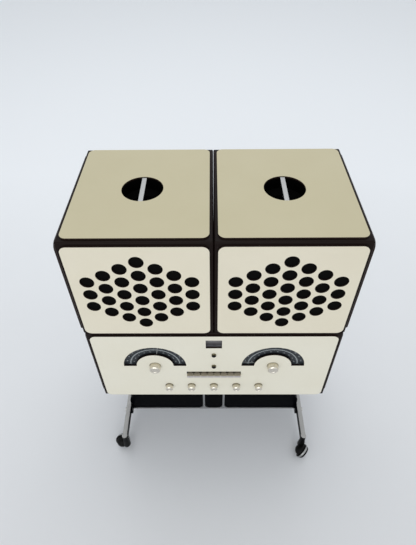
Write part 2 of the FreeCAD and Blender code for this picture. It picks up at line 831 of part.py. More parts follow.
def beam_arm(side):
    """Black crossbeam arm between a fin and a foot bar, with its lugs along the bar."""
    inner = side * (fin_spacing + fin_thickness) / 2
    outer = side * bar_inner
    middle = (inner + outer) / 2
    z = (flange_top, flange_top + arm_beam_height)
    arm = block(sorted((inner, outer)), spread(frame_depth / 2 - core_setback), z)
    low = flange_top + arm_beam_height / 2
    corner = edges_along(arm, back, lambda point: point.z < low and (point.x - middle) * side < 0)
    shaped = arm.makeFillet(fin_fillet + fit_clearance, corner)
    corner = edges_along(arm, back, lambda point: point.z > low and (point.x - middle) * side > 0)
    shaped = shaped.common(arm.makeFillet(arm_beam_corner, corner))
    lug_x = sorted((outer, outer - side * lug_thickness))
    lug_y = spread(frame_depth / 2 + lug_reach)
    shaped = shaped.fuse(block(lug_x, lug_y, (flange_top, flange_top + lug_height)))
    for y in bar_bolt_places():
        start = Vec(outer - bar_width, y, castor_height + bar_height / 2)
        shaped = shaped.cut(rod(bolt_radius + fit_clearance, start, right, 2 * bar_width))
    return shaped


def column_core():
    """Black core between the two fins."""
    half = (fin_spacing - fin_thickness) / 2
    core = block(spread(half), spread(frame_depth / 2 - core_setback), (flange_top, seat_foot))
    low = (flange_top + seat_foot) / 2
    corners = edges_along(core, back, lambda point: point.z < low)
    return core.makeFillet(fin_fillet + fit_clearance, corners)


def stand_bolts():
    """Bolts up into the cabinet, and bolts through the foot bars into the crossbeam."""
    bolts = []
    for x, y in seat_bolt_places():
        head = rod(bolt_head_radius, Vec(x, y, seat_foot - bolt_head_height), up, bolt_head_height)
        bolts.append(head.fuse(rod(bolt_radius, Vec(x, y, seat_foot), up, seat_thickness + bolt_bite)))
    for side in sides:
        for y in bar_bolt_places():
            face = Vec(side * bar_outer, y, castor_height + bar_height / 2)
            head = rod(bolt_head_radius, face, right * side, bolt_head_height)
            bolts.append(head.fuse(rod(bolt_radius, face, right * -side, bar_width + lug_thickness)))
    return Part.makeCompound(bolts)


def axle_direction(hand):
    """Direction from hood to wheel, along the tilted axle, for a castor that is not turned."""
    tilt = math.radians(axle_angle)
    return Vec(hand * math.cos(tilt), 0, -math.sin(tilt))


def castor_ball(hand):
    """Middle of the ball under a castor stem that stands at the origin."""
    return Vec(hand * castor_offset, -castor_trail, ball_radius)


def castor_hood(hand):
    """Castor hood: half ball, socket, swivel stem and axle pin, under a stem at the origin."""
    centre = castor_ball(hand)
    axle = axle_direction(hand)
    split = centre - axle * (ball_split / 2)
    keep = rod(2 * ball_radius, split, axle * -1, 2 * ball_radius)
    hood = Part.makeSphere(hood_radius, centre).common(keep)
    socket_foot = ball_radius + socket_sink
    profile = [
        (0, 0), (socket_radius + socket_flare, 0), (socket_radius, castor_height - socket_foot),
        (0, castor_height - socket_foot),
    ]
    socket = turned(profile, Vec(0, 0, socket_foot), up)
    socket = socket.fuse(Part.makeSphere(socket_radius + socket_flare, Vec(0, 0, socket_foot)))
    hood = hood.fuse(socket.cut(rod(2 * ball_radius, split, axle, 2 * ball_radius)))
    hood = hood.fuse(rod(stem_radius, Vec(0, 0, castor_height - overrun), up, stem_length + overrun))
    hood = hood.fuse(rod(collar_radius, split, axle, ball_split))
    return hood.fuse(rod(axle_radius, split, axle, ball_split + axle_reach))


def castor_wheel(hand):
    """Castor wheel: slice of the ball with a groove beside its tread, under a stem at the origin."""
    centre = castor_ball(hand)
    axle = axle_direction(hand)
    split = centre + axle * (ball_split / 2)
    wheel = Part.makeSphere(ball_radius, centre).common(rod(2 * ball_radius, split, axle, wheel_width))
    wheel = wheel.cut(rod(axle_radius + running_clearance, split, axle, axle_reach + axle_end_gap))
    groove = rod(2 * ball_radius, split + axle * tread_width, axle, tread_groove_width)
    groove_radius = math.sqrt(ball_radius ** 2 - tread_width ** 2) - tread_groove_depth
    start = split + axle * (tread_width - overrun)
    return wheel.cut(groove.cut(rod(groove_radius, start, axle, tread_groove_width + 2 * overrun)))


def castors():
    """The four castors: the side their wheel is on, and the turn that each one stands at."""
    front_y = -boss_spacing / 2
    left = -bar_spacing / 2
    return (
        ("front_left", -1, left, front_y, castor_angle_front_left),
        ("front_right", 1, -left, front_y, castor_angle_front_right),
        ("rear_left", 1, left, -front_y, castor_angle_front_right + half_turn_angle),
        ("rear_right", -1, -left, -front_y, castor_angle_front_left + half_turn_angle),
    )


for side in sides:
    name = "speaker_" + side_names[side]
    save(name + "_carcass", speaker_carcass(side))
    save(name + "_front_panel", speaker_front(side))
    save(name + "_grille_cloth", speaker_cloth(side))
    save(name + "_drivers", speaker_drivers(side))
    save(name + "_top_sheet", speaker_top_sheet(side))
    save(name + "_cover_sheets", speaker_cover_sheets(side))
    save(name + "_handle_cup", handle_cup(side))
    save(name + "_handle_bar", handle_bar(side))

save("main_carcass", main_carcass())
save("main_side_sheets", main_sheets())
save("fascia_panel", fascia())
save("dial_plates", dial_plates())
save("tuning_meter", tuning_meter())
save("chassis", chassis())
save("amplifier", Part.makeCompound([power_transformer(), circuit_board()]))
save("back_cover", back_cover())
save("deck_plate", deck_plate())
save("platter", platter())
save("tonearm", tonearm())

for side in sides:
    shaft_end = sheet_thickness + shaft_length
    turned_knob = knob(side * dial_spacing / 2, dial_z, tuning_radius, tuning_proud, shaft_end)
    save("tuning_knob_" + side_names[side], turned_knob)
    save("dial_pointer_" + side_names[side], dial_pointer(side))
    save("foot_bar_" + side_names[side], foot_bar(side))

for number, x in enumerate(control_places(), 1):
    shaft_end = sheet_thickness + shaft_length
    turned_knob = knob(x, fascia_foot + control_height, control_radius, control_proud, shaft_end)
    save("control_knob_" + str(number), turned_knob)

for number, x in enumerate(key_places(), 1):
    save("push_key_" + str(number), push_key(x))

for number, height in enumerate(button_heights, 1):
    save("push_button_" + str(number), push_button(height))

save("pedestal_frame", pedestal_frame())
save("beam_arms", Part.makeCompound([beam_arm(side) for side in sides]))
save("column_core", column_core())
save("stand_bolts", stand_bolts())

for name, hand, x, y, turn in castors():
    for node, shape in (("castor_hood_", castor_hood(hand)), ("castor_wheel_", castor_wheel(hand))):
        shape.rotate(Vec(0, 0, 0), up, turn)
        shape.translate(Vec(x, y, 0))
        save(node + name, shape)
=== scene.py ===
import json
import math

import bmesh
import bpy
from mathutils import Matrix, Vector


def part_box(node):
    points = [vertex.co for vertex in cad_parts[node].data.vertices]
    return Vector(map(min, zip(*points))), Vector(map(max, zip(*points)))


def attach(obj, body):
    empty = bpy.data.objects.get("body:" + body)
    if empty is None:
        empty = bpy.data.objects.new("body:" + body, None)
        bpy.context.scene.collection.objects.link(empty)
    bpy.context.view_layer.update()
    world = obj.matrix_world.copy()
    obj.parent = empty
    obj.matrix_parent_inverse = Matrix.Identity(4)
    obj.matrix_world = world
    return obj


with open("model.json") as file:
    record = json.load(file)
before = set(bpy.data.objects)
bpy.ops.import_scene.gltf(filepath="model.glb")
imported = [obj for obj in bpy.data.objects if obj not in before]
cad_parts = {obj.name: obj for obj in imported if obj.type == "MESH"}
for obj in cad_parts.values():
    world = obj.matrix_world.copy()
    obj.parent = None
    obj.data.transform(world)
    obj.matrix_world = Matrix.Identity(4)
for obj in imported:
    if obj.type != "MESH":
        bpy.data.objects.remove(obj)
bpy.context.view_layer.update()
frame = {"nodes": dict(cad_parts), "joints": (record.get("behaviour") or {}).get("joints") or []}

# The room: a pale matt floor under broad soft light from above, with a larger share from the front.
# The floor is painted darker near the front and lighter towards the back, as painted light.
# The camera stands in front of the radiogram at head height and looks down on it.
scene = bpy.context.scene
scene.view_settings.view_transform = "Standard"

eye = bpy.data.objects.new("eye", bpy.data.cameras.new("eye"))
eye.data.sensor_width = 36.0
eye.data.lens = 29.096
eye_right = Vector((0.99994501, 0.00457395, -0.00943681))
eye_up = Vector((0.0033713, 0.71189386, 0.70227898))
eye_back = Vector((0.0099302, -0.70227218, 0.71183929))
eye_turn = Matrix((eye_right, eye_up, eye_back)).transposed().to_4x4()
eye_place = Vector((-0.003068, -0.809578, 1.487795))
eye.matrix_world = Matrix.Translation(eye_place) @ eye_turn
scene.collection.objects.link(eye)
scene.camera = eye


class Socket:
    """One output in a finish's node tree. Sums written with it add Math nodes to the tree."""

    def __init__(self, tree, output):
        self.tree = tree
        self.output = output

    def node(self, kind, settings=None, inputs=None, out=0):
        """Adds a node of that kind: its settings first, then the values or links of its sockets."""
        made = self.tree.nodes.new("ShaderNode" + kind)
        for name, value in (settings or {}).items():
            setattr(made, name, value)
        for name, value in (inputs or {}).items():
            if isinstance(value, Socket):
                self.tree.links.new(value.output, made.inputs[name])
            else:
                made.inputs[name].default_value = value
        return Socket(self.tree, made.outputs[out])

    def into(self, shader, name):
        """Links this output to a socket of the shader."""
        self.tree.links.new(self.output, shader.inputs[name])

    def sum(self, operation, first, second):
        """A Math node of that operation on two sockets or numbers."""
        return self.node("Math", {"operation": operation}, {0: first, 1: second})

    def __add__(self, other):
        return self.sum("ADD", self, other)

    def __sub__(self, other):
        return self.sum("SUBTRACT", self, other)

    def __mul__(self, other):
        return self.sum("MULTIPLY", self, other)

    def __pow__(self, other):
        return self.sum("POWER", self, other)


def paint(red, green, blue):
    """A colour given as it looks on a screen, 0 to 255, as the shader's own numbers."""
    shares = [value / 255 for value in (red, green, blue)]
    return tuple(s / 12.92 if s < 0.04045 else ((s + 0.055) / 1.055) ** 2.4 for s in shares) + (1.0,)


def finish(name, metallic=0.0, gloss=0.5):
    """A new finish: its material, its shader, and the piece's own coordinates to paint by."""
    material = bpy.data.materials.new(name)
    material.use_nodes = True
    tree = material.node_tree
    shader = tree.nodes["Principled BSDF"]
    shader.inputs["Metallic"].default_value = metallic
    shader.inputs["Specular IOR Level"].default_value = gloss
    place = Socket(tree, tree.nodes.new("ShaderNodeTexCoord").outputs["Object"])
    return material, shader, place


def clouds(place, scale, detail=3.0, stretch=(1, 1, 1)):
    """Soft irregular shade, about 1/scale metres across, drawn out where stretch is below 1."""
    drawn = place.node("Mapping", None, {"Vector": place, "Scale": stretch})
    return drawn.node("TexNoise", None, {"Vector": drawn, "Scale": scale, "Detail": detail})


def mix(share, first, second):
    """Colour between first and second, by share."""
    return share.node("Mix", {"data_type": "RGBA"}, {0: share, 6: first, 7: second}, out=2)


def relief(height, shader, depth):
    """Raises the surface by height, 0 to 1, to that depth in metres."""
    height.node("Bump", None, {"Height": height, "Distance": depth, "Strength": 1.0}).into(shader, "Normal")


floor_half_width = 12.0
floor_shaded_near, floor_near_y = paint(214, 215, 218), -0.9
floor_lit_far, floor_far_y = paint(243, 246, 250), 1.6
floor_paint, shader, place = finish("floor_paint")
shader.inputs["Roughness"].default_value = 0.7
# Painted light: the floor's colour runs from a shaded tone at the front to a lit tone at the back.
along = place.node("SeparateXYZ", None, {0: place}, out=1)
painted_light_towards_back = along.node("MapRange", None, {0: along, 1: floor_near_y, 2: floor_far_y, 3: 0.0, 4: 1.0})
shade = clouds(place, 3.0, 4.0) * 0.1 + painted_light_towards_back
mix(shade, floor_shaded_near, floor_lit_far).into(shader, "Base Color")
relief(clouds(place, 160.0, 3.0), shader, 0.0002)

mesh = bpy.data.meshes.new("floor")
bm = bmesh.new()
bmesh.ops.create_grid(bm, x_segments=1, y_segments=1, size=floor_half_width)
bm.to_mesh(mesh)
bm.free()
mesh.materials.append(floor_paint)
floor = bpy.data.objects.new("floor", mesh)
scene.collection.objects.link(floor)

sky = bpy.data.worlds.new("sky")
sky.use_nodes = True
scene.world = sky
tree = sky.node_tree
lamp_light = tree.nodes["Background"]
lamp_light.inputs["Color"].default_value = (0.95, 0.98, 1.0, 1.0)
lamp_light.inputs["Strength"].default_value = 0.71
seen_light = tree.nodes.new("ShaderNodeBackground")
seen_light.inputs["Color"].default_value = paint(232, 235, 239)
ray = tree.nodes.new("ShaderNodeLightPath")
camera_ray, glossy_ray, through_ray = (
    Socket(tree, ray.outputs[name]) for name in ("Is Camera Ray", "Is Glossy Ray", "Is Transmission Ray")
)
seen = camera_ray.sum("MAXIMUM", camera_ray, glossy_ray.sum("MAXIMUM", glossy_ray, through_ray))
choice = tree.nodes.new("ShaderNodeMixShader")
seen.into(choice, 0)
tree.links.new(lamp_light.outputs[0], choice.inputs[1])
tree.links.new(seen_light.outputs[0], choice.inputs[2])
tree.links.new(choice.outputs[0], tree.nodes["World Output"].inputs["Surface"])

for name, where, aim, size, watts in (
    ("front_light", (-0.5, -4.2, 1.9), (0, 0, 0.5), 3.6, 66),
    ("upper_light", (0.0, 1.6, 4.4), (0, 1.2, 0.0), 3.0, 40),
):
    lamp = bpy.data.objects.new(name, bpy.data.lights.new(name, "AREA"))
    lamp.data.size = size
    lamp.data.energy = watts
    lamp.location = where
    lamp.rotation_euler = (Vector(aim) - Vector(where)).to_track_quat("-Z", "Y").to_euler()
    scene.collection.objects.link(lamp)


# The stand: a light alloy frame of flange, two fins and a seat plate, and two cast foot bars with
# bosses for the castors. Frame and bar tops are ground bright, and the bars' flanks are black.
def brushed_metal(name, colour, roughness, along):
    """Metal brushed along one direction: fine drawn-out lines, and a few dull smears."""
    material, shader, place = finish(name, metallic=1.0)
    stretch = [1.0, 1.0, 1.0]
    stretch["xyz".index(along)] = 0.02
    lines = clouds(place, 1400.0, 3.0, stretch)
    smears = clouds(place, 22.0, 4.0)
    dull = tuple(0.78 * c for c in colour[:3]) + (1.0,)
    mix(lines * 0.35 + smears * 0.35, colour, dull).into(shader, "Base Color")
    (lines * 0.16 + smears * 0.12 + (roughness - 0.14)).into(shader, "Roughness")
    relief(lines, shader, 0.00004)
    return material


def mottled(name, grain, first, second, roughness, gloss=0.5, stretch=(1, 1, 1), depth=0.0, pits=None):
    """
    Two shades of a colour, mottled by clouds of that scale and detail. Between the shades the
    roughness goes from its first value to its second. The clouds, or finer pits given as scale and
    depth, also raise the surface.
    """
    material, shader, place = finish(name, gloss=gloss)
    shade = clouds(place, *grain, stretch)
    mix(shade, first, second).into(shader, "Base Color")
    (shade * (roughness[1] - roughness[0]) + roughness[0]).into(shader, "Roughness")
    if depth:
        relief(shade, shader, depth)
    if pits:
        relief(clouds(place, pits[0], 2.0), shader, pits[1])
    return material


weld_gap = 0.00001
crease_angle = math.radians(38)


def dress(name, *finishes, pick=None, edge=0.0):
    """Gives a CAD node its finishes, edges eased by that width, and smooth curved faces."""
    node = frame["nodes"][name]
    node.data.materials.clear()
    for material in finishes:
        node.data.materials.append(material)
    for face in node.data.polygons:
        face.use_smooth = True
        face.material_index = pick(face) if pick else 0
    weld = node.modifiers.new("weld", "WELD")
    weld.merge_threshold = weld_gap
    if edge:
        eased = node.modifiers.new("eased_edges", "BEVEL")
        eased.width = edge
        eased.segments = 2
        eased.limit_method = "ANGLE"
        eased.angle_limit = crease_angle
        eased.material = -1
    flat = node.modifiers.new("flat_faces", "WEIGHTED_NORMAL")
    flat.weight = 80


def faces_towards(*directions):
    """Picks finish 0 for faces that look in one of these directions, and 1 for the rest."""
    looks = [Vector(direction) for direction in directions]
    return lambda face: 0 if any(face.normal.dot(look) > 0.9 for look in looks) else 1


left, right, front, back, up = (-1, 0, 0), (1, 0, 0), (0, -1, 0), (0, 1, 0), (0, 0, 1)
sides = ("left", "right")
ground_edge = 0.0008
cast_edge = 0.0012
frame_alloy = brushed_metal("frame_alloy", paint(176, 177, 178), 0.36, "x")
bar_alloy = brushed_metal("bar_alloy", paint(164, 164, 162), 0.4, "y")
bar_flank_black = mottled(
    "bar_flank_black", (60.0, 4.0), paint(6, 6, 7), paint(16, 16, 17), (0.36, 0.56), gloss=0.06
)
dress("pedestal_frame", frame_alloy, edge=ground_edge)
for side in sides:
    dress("foot_bar_" + side, bar_alloy, bar_flank_black, pick=faces_towards(up), edge=cast_edge)


# Crossbeam arms and column core: wooden fillings between the alloy plates, lacquered black and held
# by plated bolts through the lugs at the foot bars.
beam_lacquer = mottled(
    "beam_lacquer", (26.0, 5.0), paint(2, 2, 4), paint(7, 8, 11), (0.2, 0.45),
    gloss=0.015, stretch=(0.2, 1.0, 1.0), pits=(90.0, 0.00015),
)
rubbed_edge = 0.001
dress("beam_arms", beam_lacquer, edge=rubbed_edge)
dress("column_core", beam_lacquer, edge=rubbed_edge)
plated_edge = 0.0004
bolt_steel = brushed_metal("bolt_steel", paint(188, 187, 184), 0.32, "y")
dress("stand_bolts", bolt_steel, edge=plated_edge)


# Ball castors: a domed hood and a wheel that is a slice of a larger ball, on a tilted axle. Both are
# black enamelled castings; the tread of the wheel is turned bright, and the floor keeps it so. The stem
# of each hood turns in a boss of a foot bar.
tread_offset = 0.0042
tread_half_width = 0.003
hood_edge = 0.0004
wheel_edge = 0.0003


def castor_enamel(name, ring=None):
    """Black enamel with grime, and for a wheel the bright ring across its axle."""
    material, shader, place = finish(name, gloss=0.1)
    grime = clouds(place, 70.0, 5.0)
    colour = mix(grime, paint(5, 5, 5), paint(17, 17, 16))
    if ring:
        axle, middle = ring
        along = place.node("VectorMath", {"operation": "SUBTRACT"}, {0: place, 1: middle})
        out = along.node("VectorMath", {"operation": "DOT_PRODUCT"}, {0: along, 1: axle}, out="Value")
        from_tread = out.sum("ABSOLUTE", out - tread_offset, 0.0)
        bright = from_tread.sum("LESS_THAN", from_tread, tread_half_width)
        colour = mix(bright, colour, mix(grime, paint(176, 177, 175), paint(140, 141, 140)))
        bright.into(shader, "Metallic")
    colour.into(shader, "Base Color")
    (grime * 0.3 + 0.26).into(shader, "Roughness")
    relief(clouds(place, 500.0, 3.0), shader, 0.0001)
    return material


hood_enamel = castor_enamel("hood_enamel")
rolls = {joint["child"]: joint for joint in frame["joints"] if joint["name"].startswith("castor_roll")}
for wheel, roll in rolls.items():
    wheel_enamel = castor_enamel(wheel + "_enamel", (roll["axis"], roll["pos_m"]))
    dress(wheel, wheel_enamel, edge=wheel_edge)
    dress(wheel.replace("wheel", "hood"), hood_enamel, edge=hood_edge)


# The receiver cabinet: a wooden carcass veneered and lacquered dark brown, with its corners rounded.
# The grain runs across the cabinet and shows only faintly. It rests on the seat plate of the stand.
carcass_lacquer, shader, place = finish("carcass_lacquer", gloss=0.08)
grain = clouds(place, 260.0, 5.0, (0.06, 1.0, 1.0))
tone = clouds(place, 14.0, 3.0)
mix(grain * 0.7 + tone * 0.3, paint(16, 10, 8), paint(31, 21, 18)).into(shader, "Base Color")
(grain * 0.2 + tone * 0.15 + 0.26).into(shader, "Roughness")
relief(grain, shader, 0.00012)
sanded_edge = 0.0006
dress("main_carcass", carcass_lacquer, edge=sanded_edge)


# Laminate sheets: pressed resin sheet with a cream decorative face on a dark brown core, sawn with
# rounded corners and glued proud of the carcass, so that the dark core shows all round its edge.
def laminate(name, colour, aged):
    """The decorative face of a sheet, between its own colour and a more aged one."""
    material, shader, place = finish(name)
    mottle = clouds(place, 7.0, 4.0)
    fine = clouds(place, 900.0, 2.0)
    smears = clouds(place, 30.0, 5.0, (1.0, 1.0, 0.5))
    mix(mottle * 0.8 + fine * 0.2, colour, aged).into(shader, "Base Color")
    (smears * 0.22 + fine * 0.06 + 0.22).into(shader, "Roughness")
    relief(fine * 0.4 + clouds(place, 120.0, 2.0) * 0.6, shader, 0.00006)
    return material


white_laminate = laminate("white_laminate", paint(228, 225, 211), paint(220, 215, 196))
laminate_core = mottled(
    "laminate_core", (1800.0, 3.0), paint(26, 18, 15), paint(50, 36, 31), (0.4, 0.65),
    gloss=0.15, depth=0.0001,
)
sawn_edge = 0.0003
front_faces = faces_towards(front)
dress("main_side_sheets", white_laminate, laminate_core, pick=faces_towards(left, right), edge=sawn_edge)
dress("fascia_panel", white_laminate, laminate_core, pick=front_faces, edge=sawn_edge)


# Dials: black glossy plates behind the half-ring windows, painted darker along the inner edge as painted
# shade. Each has a fine white scale line with divisions and plain numbers on both sides of it, printed on
# the plate.
def middle_of(name):
    """The middle of a node's box."""
    low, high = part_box(name)
    return (low + high) / 2


def distance_from_axis(place, middle, along):
    """How far a place is from an axis through a middle point that runs along x, y or z."""
    across = [0.0 if letter == along else 1.0 for letter in "xyz"]
    shift = [-share * offset for share, offset in zip(across, middle)]
    centred = place.node("Mapping", None, {"Vector": place, "Location": shift, "Scale": across})
    return centred.node("VectorMath", {"operation": "LENGTH"}, {0: centred}, out="Value")


dial_middle = middle_of("tuning_knob_right")
shade_start, shade_end = 0.0465, 0.0545
dial_edge = 0.0003
dial_gloss, shader, place = finish("dial_gloss", gloss=0.2)
haze = clouds(place, 45.0, 5.0)
either_side = place.node("VectorMath", {"operation": "ABSOLUTE"}, {0: place})
out = distance_from_axis(either_side, dial_middle, "y")
# Painted shade: the plate turns black towards the inner edge of its window.
inner_painted_shade = out.node("MapRange", None, {0: out, 1: shade_start, 2: shade_end, 3: 1.0, 4: 0.0})
plain_dial = mix(haze, paint(36, 40, 44), paint(50, 54, 58))
mix(inner_painted_shade, plain_dial, paint(6, 6, 7)).into(shader, "Base Color")
(haze * 0.2 + 0.2).into(shader, "Roughness")
relief(clouds(place, 300.0, 2.0), shader, 0.00003)
dress("dial_plates", dial_gloss, edge=dial_edge)

scale_ink = mottled("scale_ink", (1500.0, 3.0), paint(176, 182, 184), paint(140, 148, 150), (0.35, 0.55))


def make_piece(name, bm, body, *finishes):
    """Makes a mesh an object that rides on a body."""
    mesh = bpy.data.meshes.new(name)
    bm.to_mesh(mesh)
    bm.free()
    for material in finishes:
        mesh.materials.append(material)
    piece = bpy.data.objects.new(name, mesh)
    scene.collection.objects.link(piece)
    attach(piece, body)
    return piece


def stamp(bm, text, height, depth, matrix):
    """Adds a printed number to a mesh, set upright in the plane that matrix gives."""
    curve = bpy.data.curves.new("number", "FONT")
    curve.body = text
    curve.size = height
    curve.extrude = depth / 2
    curve.align_x = "CENTER"
    curve.align_y = "CENTER"
    curve.resolution_u = 2
    number = bpy.data.objects.new("number", curve)
    scene.collection.objects.link(number)
    bpy.context.view_layer.update()
    shaped = number.evaluated_get(bpy.context.evaluated_depsgraph_get())
    mesh = bpy.data.meshes.new_from_object(shaped)
    mesh.transform(matrix)
    bm.from_mesh(mesh)
    bpy.data.objects.remove(number)
    bpy.data.curves.remove(curve)
    bpy.data.meshes.remove(mesh)


def raise_faces(bm, depth):
    """Gives the flat faces of a mesh that depth towards the front."""
    made = bmesh.ops.extrude_face_region(bm, geom=bm.faces[:])
    raised = [item for item in made["geom"] if isinstance(item, bmesh.types.BMVert)]
    bmesh.ops.translate(bm, verts=raised, vec=(0, -depth, 0))


upright = Matrix.Rotation(math.radians(90), 4, "X")
dial_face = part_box("dial_plates")[0].y
ink_depth = 0.00012
scale_sweep = math.radians(176)
scale_radius = 0.063
scale_line = 0.0017
scale_arc_steps = 72
divisions = 40
divisions_per_long = 4
long_outer, long_inner, long_width = 0.0036, 0.003, 0.0005
short_outer, short_inner, short_width = 0.002, 0.0015, 0.0003
number_sweep = scale_sweep - math.radians(20)
outer_numbers = ("88", "90", "92", "94", "96", "98", "100", "102", "104", "106", "108")
outer_number_radius, outer_number_height = 0.0728, 0.0046
inner_numbers = ("55", "60", "65", "70", "80", "90", "100", "120", "140", "160")
inner_number_radius, inner_number_height = 0.0552, 0.004
number_rows = (
    (outer_numbers, outer_number_radius, outer_number_height),
    (inner_numbers, inner_number_radius, inner_number_height),
)
for side, x in (("left", -dial_middle.x), ("right", dial_middle.x)):
    centre = Vector((x, dial_face, dial_middle.z))
    place_dial = Matrix.Translation(centre)
    bm = bmesh.new()
    start = Matrix.Rotation(-scale_sweep / 2, 3, "Y")
    ends = [centre + start @ Vector((0, 0, radius)) for radius in (scale_radius, scale_radius + scale_line)]
    line = bm.edges.new([bm.verts.new(point) for point in ends])
    bmesh.ops.spin(
        bm, geom=[line], cent=centre, axis=(0, 1, 0), angle=scale_sweep, steps=scale_arc_steps
    )
    raise_faces(bm, ink_depth)
    for step in range(divisions + 1):
        turn = Matrix.Rotation((step / divisions - 0.5) * scale_sweep, 4, "Y")
        outer, inner, width = short_outer, short_inner, short_width
        if step % divisions_per_long == 0:
            outer, inner, width = long_outer, long_inner, long_width
        for foot, reach in ((scale_radius + scale_line, outer), (scale_radius - inner, inner)):
            middle = Matrix.Translation((0, -ink_depth / 2, foot + reach / 2))
            size = Matrix.Diagonal((width, ink_depth, reach, 1))
            bmesh.ops.create_cube(bm, size=1, matrix=place_dial @ turn @ middle @ size)
    for numbers, radius, height in number_rows:
        for index, text in enumerate(numbers):
            turn = Matrix.Rotation((index / (len(numbers) - 1) - 0.5) * number_sweep, 4, "Y")
            lift = Matrix.Translation((0, -ink_depth / 2, radius))
            stamp(bm, text, height, ink_depth, place_dial @ turn @ lift @ upright)
    bmesh.ops.recalc_face_normals(bm, faces=bm.faces)
    scale = make_piece("dial_scale_" + side, bm, "cabinet", scale_ink)


# Dial pointers: thin pressed blades, enamelled light grey, each on a sleeve round the tuning shaft.
# They sweep just in front of the dial plate.
pointer_enamel = mottled(
    "pointer_enamel", (800.0, 3.0), paint(150, 152, 150), paint(122, 124, 122), (0.3, 0.5)
)
for side in sides:
    dress("dial_pointer_" + side, pointer_enamel)


# Tuning knobs and control knobs: turned from light alloy bar and polished, with fine rings left by
# the tool on the nose, and a flank painted darker near the fascia as painted shade. A push fit holds each
# on its shaft.
tool_waves = 9000.0  # radians for each metre out from the axis
painted_shade_depth = 0.0075
knob_edge = 0.0009
fascia_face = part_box("fascia_panel")[0].y


def turned_metal(name, colour, middle, along):
    """Polished metal with fine rings about the axis that it was turned on."""
    material, shader, place = finish(name, metallic=1.0)
    out = distance_from_axis(place, middle, along)
    rings = out.sum("SINE", out * tool_waves, 0.0) * 0.5 + 0.5
    wear = clouds(place, 160.0, 4.0)
    dull = tuple(0.8 * c for c in colour[:3]) + (1.0,)
    mix(wear * 0.6 + rings * 0.2, colour, dull).into(shader, "Base Color")
    (wear * 0.16 + rings * 0.06 + 0.14).into(shader, "Roughness")
    relief(rings, shader, 0.00003)
    return material


def knob_flank(name, shaded_dark, shaded_light):
    """Polished metal, painted darker near the fascia as painted shade."""
    material, shader, place = finish(name, metallic=1.0)
    rub = clouds(place, 160.0, 4.0)
    forward = place.node("SeparateXYZ", None, {0: place}, out=1)
    # Painted shade: the flank's colour darkens towards the fascia.
    lit_share = forward.node(
        "MapRange", None, {0: forward, 1: fascia_face, 2: fascia_face - painted_shade_depth, 3: 0.0, 4: 1.0}
    )
    polished = mix(rub, paint(232, 227, 215), paint(216, 209, 193))
    mix(lit_share, mix(rub, shaded_dark, shaded_light), polished).into(shader, "Base Color")
    (rub * 0.16 + 0.22).into(shader, "Roughness")
    return material


# The control flanks carry a darker painted shade than the tuning flanks.
tuning_flank = knob_flank("tuning_flank", paint(196, 187, 163), paint(206, 198, 177))
control_flank = knob_flank("control_flank", paint(120, 109, 82), paint(140, 129, 101))
knob_flanks = {"tuning_knob_left": tuning_flank, "tuning_knob_right": tuning_flank}
knob_flanks.update({f"control_knob_{index}": control_flank for index in range(1, 6)})
for name, flank in knob_flanks.items():
    nose = turned_metal(name + "_alloy", paint(232, 226, 214), middle_of(name), "y")
    dress(name, nose, flank, pick=front_faces, edge=knob_edge)


# Shadow rings: thin black rings under the knobs, a little wider than the knobs themselves, put where
# there is only shade at each knob's foot, as painted shade. They lie on the fascia and stay still as a knob
# turns.
shadow_ring_black = mottled(
    "shadow_ring_black", (1600.0, 4.0), paint(14, 12, 11), paint(34, 30, 27), (0.84, 0.94),
    gloss=0.05, depth=0.0001,
)
shadow_ring_thickness = 0.0003
shadow_ring_overhang = 0.0006
shadow_ring_bore = 0.006
shadow_ring_steps = 48
# Painted shade: each black ring stands for the shade at the foot of a knob.
for name in knob_flanks:
    low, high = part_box(name)
    x, _, z = middle_of(name)
    half = (high.x - low.x) / 2 + shadow_ring_overhang
    bm = bmesh.new()
    rim = [bm.verts.new((x + out, fascia_face, z)) for out in (shadow_ring_bore, half)]
    bm.edges.new(rim)
    bmesh.ops.spin(
        bm, geom=bm.edges[:], cent=(x, 0, z), axis=(0, 1, 0),
        angle=math.tau, steps=shadow_ring_steps, use_merge=True,
    )
    raise_faces(bm, shadow_ring_thickness)
    bmesh.ops.recalc_face_normals(bm, faces=bm.faces)
    painted_shade_ring = make_piece(name + "_washer", bm, "cabinet", shadow_ring_black)


# Tuning meter: a moulded grey case let in behind an opening in the fascia, with a sunk face and a
# needle on it. The face is darkest at its foot.
meter_grey, shader, place = finish("meter_grey")
cast = clouds(place, 120.0, 3.0)
meter_foot, meter_head = (corner.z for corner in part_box("tuning_meter"))
height = place.node("SeparateXYZ", None, {0: place}, out=2)
upper = height.node("MapRange", None, {0: height, 1: meter_foot, 2: meter_head, 3: 0.0, 4: 1.0})
lower_grey = mix(cast, paint(62, 60, 64), paint(76, 74, 78))
upper_grey = mix(cast, paint(196, 194, 190), paint(206, 204, 200))
mix(upper ** 2.0, lower_grey, upper_grey).into(shader, "Base Color")
(cast * 0.2 + 0.3).into(shader, "Roughness")
dress("tuning_meter", meter_grey)


# Push buttons and push keys: the two round buttons have a black nose and a flank of lighter olive
# metal, a painted light for their lit upper side. The eight keys have satin alloy noses on flanks painted
# a darker tan as painted shade, side by side in one slot, each on its own flat stem.
moulded_edge = 0.0003
button_gloss = mottled(
    "button_gloss", (240.0, 4.0), paint(7, 6, 5), paint(20, 18, 15), (0.2, 0.4), gloss=0.1
)
# Painted light: the button flank is a lighter olive than the black nose, for light on its upper side.
button_flank_painted_light = brushed_metal("button_flank_painted_light", paint(132, 126, 104), 0.3, "y")


def on_nose(face):
    """Picks finish 0 for a button's nose and its bevel, and 1 for the flank."""
    return 0 if face.normal.y < -0.5 else 1


for index in (1, 2):
    dress(f"push_button_{index}", button_gloss, button_flank_painted_light, pick=on_nose, edge=moulded_edge)

key_alloy = brushed_metal("key_alloy", paint(208, 204, 203), 0.46, "x")
